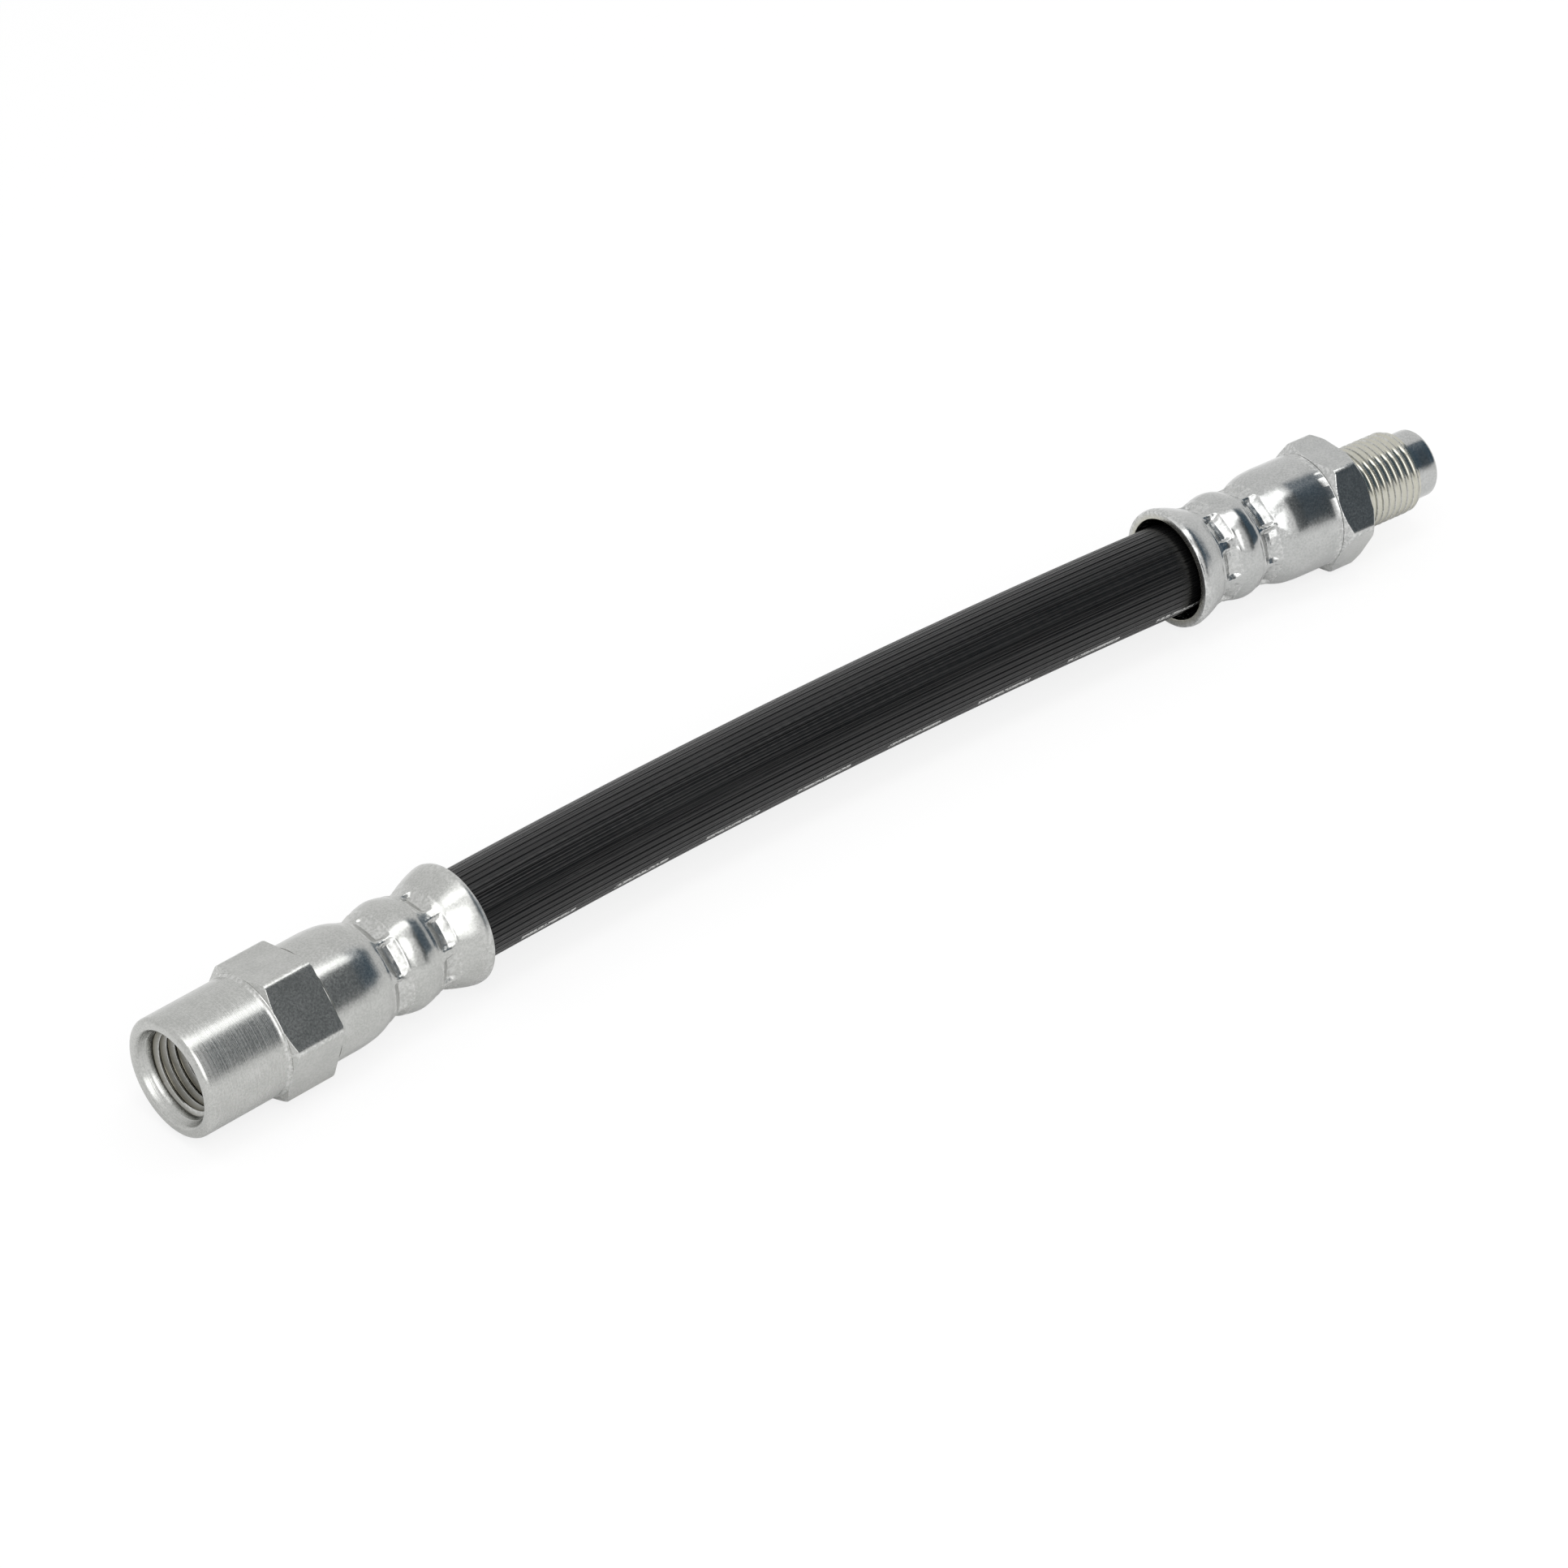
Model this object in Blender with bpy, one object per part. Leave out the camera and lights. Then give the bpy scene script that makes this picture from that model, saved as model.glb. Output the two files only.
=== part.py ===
"""Hydraulic hose assembly: a ribbed rubber hose between two crimped steel end fittings.

One end has a threaded socket in a round nose, the other a threaded stud with a plain pilot.
The hose is built up from five layers, and each fitting is a hexagon body with a crimped skirt
and a barbed insert that holds the hose's bore open.

Lengths are in millimetres and angles in degrees. +Z is up, and +X runs along the axis of the
socket end, from the socket towards the stud. The hose lies in a slight horizontal bend.
"""
import math

import bmesh
import bpy
from mathutils import Matrix, Vector

MM = 0.001

# Hose
HOSE_FREE_LENGTH = 101.6
HOSE_BEND = 7.0
HOSE_INSERTION = 19.4
HOSE_BORE = 3.2
TUBE_WALL = 0.85
INNER_BRAID_THICKNESS = 0.4
CUSHION_WALL = 0.25
OUTER_BRAID_THICKNESS = 0.4
COVER_WALL = 1.315
RIB_COUNT = 44
RIB_DEPTH = 0.13

# Fits
LAYER_GAP = 0.1
FIT_GAP = 0.12
END_GAP = 0.3

# Crimped skirt, the same tool on both fittings
FERRULE_WALL = 1.45
CRIMP_SQUEEZE = 0.8
CRIMPED_WALL = 0.8
JAW_COUNT = 8
JAW_LAND = 0.7
JAW_PRINT = 2.3
JAW_FLANK = 36.0
JAW_RIDGE = 0.28
SHOULDER_LENGTH = 3.8
FLARE_CROWN = 0.1
RIM_WALL = 0.95
RIM_EDGE = 0.4

# Hexagon, one spanner size on both fittings
HEX_ACROSS_FLATS = 13.86
HEX_CORNER_CUT = 0.1

# Socket fitting, measured from its skirt's rim
FEMALE_FLARE_OD = 13.88
FEMALE_CRIMP_NEAR = 5.05
FEMALE_CRIMP_FAR = 11.5
FEMALE_BULGE_WALL = 0.96
FEMALE_SKIRT_LENGTH = 21.0
FEMALE_HEX_LENGTH = 6.4
FEMALE_HEX_ROLL = 11.8
FEMALE_CRIMP_ROLL = -4.0
NOSE_LENGTH = 10.4
NOSE_WALL = 2.305
MOUTH_EDGE = 0.6
SOCKET_THREAD_BORE = 8.92
SOCKET_DEPTH = 11.4
SOCKET_CONE = 1.9
COUNTERSINK = 0.85

# Stud fitting, measured from its skirt's rim
MALE_FLARE_OD = 14.18
MALE_CRIMP_NEAR = 5.1
MALE_CRIMP_FAR = 10.9
MALE_BULGE_WALL = 1.02
MALE_SKIRT_LENGTH = 20.55
MALE_HEX_LENGTH = 4.3
MALE_HEX_ROLL = 58.6
MALE_CRIMP_ROLL = 73.0
THREAD_OD = 9.95
THREAD_LENGTH = 8.4
THREAD_CHAMFER = 0.5
RELIEF_DEPTH = 0.7
RELIEF_LENGTH = 0.75
RELIEF_UNDERCUT = 0.15
PILOT_STEP = 0.9
PILOT_LENGTH = 3.4
PILOT_EDGE = 0.4
SEAT_CONE = 1.45

# Chamfers of the hexagons, as length along the axis and drop from the corners
FEMALE_HEX_BACK = (0.15, 0.15)
FEMALE_HEX_FRONT = (0.45, 0.85)
MALE_HEX_BACK = (0.8, 1.03)
MALE_HEX_FRONT = (0.65, 0.7)

# Inserts
INSERT_STRETCH = 0.15
INSERT_WALL = 0.6
INSERT_STEM_LENGTH = 15.0
INSERT_FLANGE = 0.75
INSERT_HEAD_LENGTH = 1.8
BARB_HEIGHT = 0.1
BARB_PITCH = 3.0
BARB_COUNT = 4

# Facets
OUTER_COLUMNS = 48
INNER_COLUMNS = 24
LAYER_COLUMNS = 16
BEND_STEPS = 6
CURVE_STEPS = 4

# Sizes that follow from the ones above
HOSE_BORE_R = HOSE_BORE / 2
TUBE_R = HOSE_BORE_R + TUBE_WALL
INNER_BRAID_BORE_R = TUBE_R + LAYER_GAP
INNER_BRAID_R = INNER_BRAID_BORE_R + INNER_BRAID_THICKNESS
CUSHION_BORE_R = INNER_BRAID_R + LAYER_GAP
CUSHION_R = CUSHION_BORE_R + CUSHION_WALL
OUTER_BRAID_BORE_R = CUSHION_R + LAYER_GAP
OUTER_BRAID_R = OUTER_BRAID_BORE_R + OUTER_BRAID_THICKNESS
COVER_BORE_R = OUTER_BRAID_R + LAYER_GAP
HOSE_R = COVER_BORE_R + COVER_WALL
CAVITY_R = HOSE_R + FIT_GAP
CRIMPED_CAVITY_R = CAVITY_R - CRIMP_SQUEEZE
BARREL_R = CAVITY_R + FERRULE_WALL
JAW_FLOOR_R = CRIMPED_CAVITY_R + CRIMPED_WALL
JAW_EDGE_R = JAW_FLOOR_R + (JAW_PRINT - JAW_LAND) / 2 * math.tan(math.radians(JAW_FLANK))
HEX_APOTHEM = HEX_ACROSS_FLATS / 2
HEX_CORNER_R = HEX_APOTHEM / math.cos(math.pi / 6) - HEX_CORNER_CUT
WEB = HOSE_INSERTION + END_GAP
INSERT_R = HOSE_BORE_R + INSERT_STRETCH
INSERT_BORE_R = INSERT_R - INSERT_WALL
INSERT_HEAD_R = INSERT_R + INSERT_FLANGE
TUBE_BORE_ON_INSERT_R = INSERT_R + BARB_HEIGHT + FIT_GAP
SOCKET_BORE_R = SOCKET_THREAD_BORE / 2
NOSE_R = SOCKET_BORE_R + NOSE_WALL
FEMALE_LENGTH = FEMALE_SKIRT_LENGTH + FEMALE_HEX_LENGTH + NOSE_LENGTH
THREAD_R = THREAD_OD / 2
PILOT_R = THREAD_R - PILOT_STEP
MALE_SHOULDER = MALE_SKIRT_LENGTH + MALE_HEX_LENGTH
MALE_THREAD_START = MALE_SHOULDER + RELIEF_LENGTH
MALE_THREAD_END = MALE_THREAD_START + THREAD_LENGTH
MALE_LENGTH = MALE_THREAD_END + PILOT_LENGTH


# Rings: a place along the axis with a radius for each angle

def round_ring(place, radius, columns=OUTER_COLUMNS):
    """A circular ring."""
    return place, columns, lambda angle: radius


def hex_ring(place, limit, roll):
    """A hexagon whose corners are cut back to a circle of the limit's radius."""
    def radius_at(angle):
        from_flat = (angle - roll + 30) % 60 - 30
        flat = HEX_APOTHEM / math.cos(math.radians(30 - abs(from_flat)))
        return min(flat, limit)
    return place, OUTER_COLUMNS, radius_at


def jaw_ring(place, radius, ridge, roll):
    """A ring pressed by the crimping jaws, with a low ridge left between neighbours."""
    pitch = 360 / JAW_COUNT
    ridge_half_width = 180 / OUTER_COLUMNS
    def radius_at(angle):
        from_ridge = (angle - roll) % pitch - pitch / 2
        return radius + (ridge if abs(from_ridge) <= ridge_half_width else 0)
    return place, OUTER_COLUMNS, radius_at


# Mesh building

def ring_vertices(mesh, ring, roll, frame_at):
    """Adds one ring's vertices; frame_at gives the axis point and sideways vector at a place."""
    place, columns, radius_at = ring
    centre, side = frame_at(place)
    vertices = []
    for column in range(columns):
        angle = roll + 360 * column / columns
        turn = math.radians(angle)
        spoke = side * math.cos(turn) + Vector((0, 0, 1)) * math.sin(turn)
        vertices.append(mesh.verts.new((centre + spoke * radius_at(angle)) * MM))
    return vertices


def stitch(mesh, first, second):
    """Joins two rings; unlike counts are stepped round in order of angle."""
    if len(first) == len(second):
        for i in range(len(first)):
            j = (i + 1) % len(first)
            mesh.faces.new((first[i], first[j], second[j], second[i]))
        return
    i = j = 0
    while i < len(first) or j < len(second):
        here, there = first[i % len(first)], second[j % len(second)]
        if (i + 1) * len(second) <= (j + 1) * len(first):
            i += 1
            mesh.faces.new((here, first[i % len(first)], there))
        else:
            j += 1
            mesh.faces.new((here, second[j % len(second)], there))


def straight_axis(place):
    """The axis of a fitting, along its own +X."""
    return Vector((place, 0, 0)), Vector((0, 1, 0))


def lofted(name, rings, roll, material, frame_at=straight_axis):
    """A closed body through rings that run out along its outside and back along its bore."""
    mesh = bmesh.new()
    loops = [ring_vertices(mesh, ring, roll, frame_at) for ring in rings]
    for first, second in zip(loops, loops[1:] + loops[:1]):
        stitch(mesh, first, second)
    bmesh.ops.recalc_face_normals(mesh, faces=mesh.faces)
    data = bpy.data.meshes.new(name)
    mesh.to_mesh(data)
    mesh.free()
    data.shade_smooth()
    data.set_sharp_from_angle(angle=math.radians(32))
    data.materials.append(material)
    part = bpy.data.objects.new(name, data)
    bpy.context.collection.objects.link(part)
    return part


def principled(name, colour, roughness, metallic):
    """A plain Principled material."""
    material = bpy.data.materials.new(name)
    material.use_nodes = True
    shader = material.node_tree.nodes["Principled BSDF"]
    shader.inputs["Base Color"].default_value = (*colour, 1)
    shader.inputs["Roughness"].default_value = roughness
    shader.inputs["Metallic"].default_value = metallic
    return material


# The crimped skirt and its cavity, shared by both fittings

def cavity_profile(near, far):
    """Places and radii of the skirt's bore, from its throat to the web that the hose meets."""
    throat = near - JAW_PRINT / 2
    middle = (near + far) / 2
    return [(throat, CAVITY_R - CRIMP_SQUEEZE / 2), (near, CRIMPED_CAVITY_R), (middle, CAVITY_R),
            (far, CRIMPED_CAVITY_R), (far + SHOULDER_LENGTH, CAVITY_R), (WEB, CAVITY_R)]


def jaw_print_rings(place, roll):
    """One crimp: a flat land with sloping sides, pressed by every jaw."""
    return [jaw_ring(place - JAW_PRINT / 2, JAW_EDGE_R, JAW_RIDGE / 3, roll),
            jaw_ring(place - JAW_LAND / 2, JAW_FLOOR_R, JAW_RIDGE, roll),
            jaw_ring(place + JAW_LAND / 2, JAW_FLOOR_R, JAW_RIDGE, roll),
            jaw_ring(place + JAW_PRINT / 2, JAW_EDGE_R, JAW_RIDGE / 3, roll)]


def skirt_rings(flare_od, near, far, bulge_wall, length, roll):
    """Outside of the skirt from its rim to the hexagon: flare, crimp, bulge, crimp and barrel."""
    flare_r = flare_od / 2
    throat = near - JAW_PRINT / 2
    rings = [round_ring(0, flare_r - RIM_EDGE), round_ring(RIM_EDGE, flare_r)]
    for step in range(1, CURVE_STEPS):
        share = step / CURVE_STEPS
        crown = FLARE_CROWN * 4 * share * (1 - share)
        rings.append(round_ring(RIM_EDGE + (throat - RIM_EDGE) * share,
                                JAW_EDGE_R + (flare_r - JAW_EDGE_R) * (1 - share) + crown))
    rings += jaw_print_rings(near, roll)
    bulge_from, bulge_to = near + JAW_PRINT / 2, far - JAW_PRINT / 2
    bulge_rise = CAVITY_R + bulge_wall - JAW_EDGE_R
    for step in range(1, CURVE_STEPS):
        share = step / CURVE_STEPS
        rings.append(round_ring(bulge_from + (bulge_to - bulge_from) * share,
                                JAW_EDGE_R + bulge_rise * math.sin(math.pi * share)))
    rings += jaw_print_rings(far, roll)
    shoulder_from = far + JAW_PRINT / 2
    for step in range(1, CURVE_STEPS + 1):
        share = step / CURVE_STEPS
        rings.append(round_ring(shoulder_from + SHOULDER_LENGTH * share,
                                BARREL_R - (BARREL_R - JAW_EDGE_R) * (1 - share) ** 2))
    rings.append(round_ring(length, BARREL_R))
    return rings


def hex_rings(start, length, start_chamfer, end_chamfer, roll):
    """The hexagon with a turned chamfer at each end."""
    end = start + length
    return [hex_ring(start, HEX_CORNER_R - start_chamfer[1], roll),
            hex_ring(start + start_chamfer[0], HEX_CORNER_R, roll),
            hex_ring(end - end_chamfer[0], HEX_CORNER_R, roll),
            hex_ring(end, HEX_CORNER_R - end_chamfer[1], roll)]


def insert_seat_rings():
    """The web's passage and the counterbore that the insert's head sits in, towards the hose."""
    seat = WEB + INSERT_HEAD_LENGTH + FIT_GAP
    head_bore = INSERT_HEAD_R + FIT_GAP
    return [round_ring(seat, INSERT_BORE_R, INNER_COLUMNS), round_ring(seat, head_bore, INNER_COLUMNS),
            round_ring(WEB, head_bore, INNER_COLUMNS)]


def cavity_rings(flare_od, near, far):
    """The skirt's bore from the web back out to its rim."""
    rings = [round_ring(place, radius, INNER_COLUMNS) for place, radius in reversed(cavity_profile(near, far))]
    return rings + [round_ring(0, flare_od / 2 - RIM_WALL, INNER_COLUMNS)]


# Pieces

def female_fitting(material):
    """The socket fitting: skirt, hexagon and round nose with its threaded socket."""
    hex_end = FEMALE_SKIRT_LENGTH + FEMALE_HEX_LENGTH
    mouth = FEMALE_LENGTH
    edge = min(MOUTH_EDGE, (NOSE_WALL - COUNTERSINK) / 2)
    socket_end = mouth - SOCKET_DEPTH
    rings = skirt_rings(FEMALE_FLARE_OD, FEMALE_CRIMP_NEAR, FEMALE_CRIMP_FAR, FEMALE_BULGE_WALL,
                        FEMALE_SKIRT_LENGTH, FEMALE_CRIMP_ROLL)
    rings += hex_rings(FEMALE_SKIRT_LENGTH, FEMALE_HEX_LENGTH, FEMALE_HEX_BACK, FEMALE_HEX_FRONT,
                       FEMALE_HEX_ROLL)
    rings.append(round_ring(hex_end, NOSE_R))
    for step in range(CURVE_STEPS):
        turn = math.pi / 2 * step / (CURVE_STEPS - 1)
        rings.append(round_ring(mouth - edge * (1 - math.sin(turn)), NOSE_R - edge * (1 - math.cos(turn))))
    rings += [round_ring(mouth, SOCKET_BORE_R + COUNTERSINK, INNER_COLUMNS),
              round_ring(mouth - COUNTERSINK, SOCKET_BORE_R, INNER_COLUMNS),
              round_ring(socket_end, SOCKET_BORE_R, INNER_COLUMNS),
              round_ring(socket_end - SOCKET_CONE, INSERT_BORE_R, INNER_COLUMNS)]
    rings += insert_seat_rings()
    rings += cavity_rings(FEMALE_FLARE_OD, FEMALE_CRIMP_NEAR, FEMALE_CRIMP_FAR)
    return lofted("female_fitting", rings, FEMALE_HEX_ROLL, material)


def male_fitting(material):
    """The stud fitting: skirt, hexagon, thread at its full diameter and plain pilot."""
    relief_r = THREAD_R - RELIEF_DEPTH
    chamfer_r = THREAD_R - THREAD_CHAMFER
    rings = skirt_rings(MALE_FLARE_OD, MALE_CRIMP_NEAR, MALE_CRIMP_FAR, MALE_BULGE_WALL,
                        MALE_SKIRT_LENGTH, MALE_CRIMP_ROLL)
    rings += hex_rings(MALE_SKIRT_LENGTH, MALE_HEX_LENGTH, MALE_HEX_BACK, MALE_HEX_FRONT, MALE_HEX_ROLL)
    rings += [round_ring(MALE_SHOULDER, THREAD_R + FIT_GAP, INNER_COLUMNS),
              round_ring(MALE_SHOULDER - RELIEF_UNDERCUT, relief_r, INNER_COLUMNS),
              round_ring(MALE_THREAD_START, relief_r, INNER_COLUMNS),
              round_ring(MALE_THREAD_START + RELIEF_DEPTH, THREAD_R, INNER_COLUMNS),
              round_ring(MALE_THREAD_END - THREAD_CHAMFER, THREAD_R, INNER_COLUMNS),
              round_ring(MALE_THREAD_END, chamfer_r, INNER_COLUMNS),
              round_ring(MALE_THREAD_END, PILOT_R, INNER_COLUMNS),
              round_ring(MALE_LENGTH - PILOT_EDGE, PILOT_R, INNER_COLUMNS),
              round_ring(MALE_LENGTH, PILOT_R - PILOT_EDGE, INNER_COLUMNS),
              round_ring(MALE_LENGTH, INSERT_BORE_R + SEAT_CONE, INNER_COLUMNS),
              round_ring(MALE_LENGTH - SEAT_CONE, INSERT_BORE_R, INNER_COLUMNS)]
    rings += insert_seat_rings()
    rings += cavity_rings(MALE_FLARE_OD, MALE_CRIMP_NEAR, MALE_CRIMP_FAR)
    return lofted("male_fitting", rings, MALE_HEX_ROLL, material)


def insert(name, roll, material):
    """A barbed steel tube, headed at the web, that holds the hose's bore open under the crimp."""
    tip = WEB - INSERT_STEM_LENGTH
    rings = [(WEB + INSERT_HEAD_LENGTH, INSERT_HEAD_R), (WEB, INSERT_HEAD_R), (WEB, INSERT_R)]
    for barb in range(BARB_COUNT):
        place = tip + BARB_PITCH * (BARB_COUNT - barb)
        rings += [(place, INSERT_R), (place, INSERT_R + BARB_HEIGHT)]
    rings += [(tip, INSERT_R - BARB_HEIGHT), (tip, INSERT_BORE_R), (WEB + INSERT_HEAD_LENGTH, INSERT_BORE_R)]
    return lofted(name, [round_ring(place, radius, INNER_COLUMNS) for place, radius in rings], roll, material)


def hose_axis(place):
    """The hose's axis, from the socket fitting's rim: straight in both skirts, one arc between."""
    bend = math.radians(HOSE_BEND)
    radius = HOSE_FREE_LENGTH / bend
    turn = bend * min(max(place / HOSE_FREE_LENGTH, 0), 1)
    point = Vector((radius * math.sin(turn), -radius * (1 - math.cos(turn)), 0))
    along = Vector((math.cos(turn), -math.sin(turn), 0))
    point += along * (min(place, 0) + max(place - HOSE_FREE_LENGTH, 0))
    return point, Vector((math.sin(turn), math.cos(turn), 0))


def free_places():
    """Places along the free hose, rim to rim."""
    return [HOSE_FREE_LENGTH * step / BEND_STEPS for step in range(BEND_STEPS + 1)]


def layer(name, bore_r, outer_r, material):
    """One plain layer of the hose, full length."""
    places = [-HOSE_INSERTION] + free_places() + [HOSE_FREE_LENGTH + HOSE_INSERTION]
    rings = [round_ring(place, outer_r, LAYER_COLUMNS) for place in places]
    rings += [round_ring(place, bore_r, LAYER_COLUMNS) for place in reversed(places)]
    return lofted(name, rings, 0, material, hose_axis)


def inner_tube(material):
    """The liner, whose bore is stretched over the insert at each end."""
    insert_tip = WEB - INSERT_STEM_LENGTH
    stretched = [-HOSE_INSERTION, -insert_tip + END_GAP]
    bore = [(place, TUBE_BORE_ON_INSERT_R) for place in stretched]
    bore += [(place, HOSE_BORE_R) for place in free_places()]
    bore += [(HOSE_FREE_LENGTH - place, TUBE_BORE_ON_INSERT_R) for place in reversed(stretched)]
    outside = [-HOSE_INSERTION] + free_places() + [HOSE_FREE_LENGTH + HOSE_INSERTION]
    rings = [round_ring(place, TUBE_R, LAYER_COLUMNS) for place in outside]
    rings += [round_ring(place, radius, LAYER_COLUMNS) for place, radius in reversed(bore)]
    return lofted("inner_tube", rings, 0, material, hose_axis)


def rib_ring(place, depth):
    """A ring of the cover with lengthwise ribs: a crest and a groove for each."""
    half_pitch = 180 / RIB_COUNT
    def radius_at(angle):
        return HOSE_R - depth * (round(angle / half_pitch) % 2)
    return place, 2 * RIB_COUNT, radius_at


def outer_cover(material):
    """The ribbed cover, pressed smooth and waisted where the skirts are crimped on it."""
    def gripped(near, far):
        rows = [(place, radius - FIT_GAP) for place, radius in cavity_profile(near, far)]
        return [(min(place, HOSE_INSERTION), radius) for place, radius in rows]
    def smooth(place, radius):
        return round_ring(place, radius, 2 * RIB_COUNT)
    rings = [smooth(-place, radius) for place, radius in reversed(gripped(FEMALE_CRIMP_NEAR, FEMALE_CRIMP_FAR))]
    rings += [rib_ring(place, RIB_DEPTH) for place in free_places()]
    rings += [smooth(HOSE_FREE_LENGTH + place, radius) for place, radius in gripped(MALE_CRIMP_NEAR, MALE_CRIMP_FAR)]
    ends = [HOSE_FREE_LENGTH + HOSE_INSERTION] + free_places()[::-1] + [-HOSE_INSERTION]
    rings += [round_ring(place, COVER_BORE_R, LAYER_COLUMNS) for place in ends]
    return lofted("outer_cover", rings, 0, material, hose_axis)


# Assembly

def empty(name, parent=None):
    """A parent for pieces that keep together."""
    holder = bpy.data.objects.new(name, None)
    bpy.context.collection.objects.link(holder)
    holder.parent = parent
    return holder


def lowest_and_highest(parts):
    """World box of some pieces."""
    bpy.context.view_layer.update()
    points = [part.matrix_world @ vertex.co for part in parts for vertex in part.data.vertices]
    low = Vector(min(point[k] for point in points) for k in range(3))
    high = Vector(max(point[k] for point in points) for k in range(3))
    return low, high


def build():
    for old in list(bpy.data.objects):
        bpy.data.objects.remove(old, do_unlink=True)
    zinc = principled("zinc_plated_steel", (0.62, 0.63, 0.62), 0.34, 1.0)
    steel = principled("bright_steel", (0.55, 0.55, 0.56), 0.3, 1.0)
    rubber = principled("black_rubber", (0.022, 0.022, 0.024), 0.55, 0.0)
    liner = principled("liner_rubber", (0.03, 0.03, 0.032), 0.6, 0.0)
    yarn = principled("braid_yarn", (0.72, 0.69, 0.6), 0.85, 0.0)

    origin = empty("assembly_origin")
    middle, _ = hose_axis(HOSE_FREE_LENGTH / 2)
    flex_axis = empty("hose_flex_axis", origin)
    flex_axis.location = middle * MM
    rim, _ = hose_axis(HOSE_FREE_LENGTH)

    female = [female_fitting(zinc), insert("female_insert", FEMALE_HEX_ROLL, steel)]
    male = [male_fitting(zinc), insert("male_insert", MALE_HEX_ROLL, steel)]
    hose = [inner_tube(liner), layer("inner_braid", INNER_BRAID_BORE_R, INNER_BRAID_R, yarn),
            layer("cushion_layer", CUSHION_BORE_R, CUSHION_R, liner),
            layer("outer_braid", OUTER_BRAID_BORE_R, OUTER_BRAID_R, yarn), outer_cover(rubber)]
    for part in female:
        part.parent = origin
        part.rotation_euler.z = math.pi
    for part in male:
        part.parent = flex_axis
        part.location = (rim - middle) * MM
        part.rotation_euler.z = -math.radians(HOSE_BEND)
    for part in hose:
        part.parent = origin

    low, high = lowest_and_highest(female + male)
    origin.location = (-(low.x + high.x) / 2, -(low.y + high.y) / 2, -low.z)
    bpy.context.view_layer.update()


build()
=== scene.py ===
"""Looks of the hydraulic hose assembly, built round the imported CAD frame.

Lengths are in millimetres until a mesh is made, and angles in degrees. A fitting is drawn in its own
frame, with +X running out of its skirt's rim along its axis. A place is a distance along that axis,
and an angle turns from the frame's +Y towards +Z.
"""
import math

import bpy
import numpy as np
from mathutils import Matrix, Vector

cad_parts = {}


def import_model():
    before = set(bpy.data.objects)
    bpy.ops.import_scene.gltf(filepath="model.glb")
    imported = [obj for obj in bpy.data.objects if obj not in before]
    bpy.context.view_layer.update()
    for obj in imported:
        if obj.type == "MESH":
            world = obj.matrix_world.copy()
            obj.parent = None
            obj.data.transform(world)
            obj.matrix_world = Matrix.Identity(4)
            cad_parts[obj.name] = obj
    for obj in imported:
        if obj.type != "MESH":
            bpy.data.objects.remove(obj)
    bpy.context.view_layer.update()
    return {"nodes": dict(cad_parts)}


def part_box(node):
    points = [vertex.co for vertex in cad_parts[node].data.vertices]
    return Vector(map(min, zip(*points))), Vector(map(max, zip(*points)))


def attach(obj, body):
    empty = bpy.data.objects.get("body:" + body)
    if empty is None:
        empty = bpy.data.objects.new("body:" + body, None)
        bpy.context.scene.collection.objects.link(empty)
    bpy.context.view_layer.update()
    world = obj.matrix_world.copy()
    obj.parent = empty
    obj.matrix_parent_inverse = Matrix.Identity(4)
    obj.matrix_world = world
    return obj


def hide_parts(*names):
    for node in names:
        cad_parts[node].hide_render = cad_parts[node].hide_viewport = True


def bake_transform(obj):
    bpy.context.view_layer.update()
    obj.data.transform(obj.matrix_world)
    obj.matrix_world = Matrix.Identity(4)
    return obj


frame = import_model()

MM = 0.001
SEED = 11

# Photograph's camera
IMAGE_SIZE = 1932
FOCAL_PIXELS = 7304.5
SENSOR = 36.0
CAMERA_AZIMUTH = -43.15
CAMERA_ELEVATION = 36.14
CAMERA_ROLL = -0.37
CAMERA_DISTANCE = 638.7
CAMERA_AIM = (-8.757, -1.516, 7.51)

# Hose
FREE_LENGTH = 101.6
BEND = 7.0
INSERTION = 19.4
HOSE_R = 5.215
COVER_BORE_R = 3.9
HOSE_ROW_STEP = 1.25
BORE_ROW_STEP = 5.0
RIPPLE = 0.003
FIT_GAP = 0.12

# Grooves between the cover's ribs; play and widths are shares of their spacing
RIB_COUNT = 88
RIB_COLUMNS = 8
RIB_DEPTH = 0.13
RIB_PLAY = 0.15
GROOVE_WIDTHS = (0.12, 0.2)
GROOVE_DEPTH_SHARES = (0.5, 1.1)
SHALLOW_GROOVE = 0.3

# Broken white line on the cover: its edges are angles
LINE_PERIOD = 13.0
LINE_GAP_SHARE = 0.42
LINE_FIRST_EDGE = (203.6, 204.2)
LINE_LAST_EDGE = (211.4, 210.8)

# Hose layers under the cover, as bore and outer radius
TUBE = (1.6, 2.45)
INNER_BRAID = (2.55, 2.95)
CUSHION = (3.05, 3.3)
OUTER_BRAID = (3.4, 3.8)
STRETCHED_BORE_R = 1.97
INSERT_TIP = 4.7
STRETCH_PAST_TIP = 0.3
LAYER_COLUMNS = 48
LAYER_ROW_STEP = 3.8
INNER_CARRIERS = 12
OUTER_CARRIERS = 16
YARN_COLUMNS = 8
YARN_RELIEF = 0.3
BRAID_ROW_STEP = 0.9
BRAID_BORE_EVERY = 6

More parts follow.
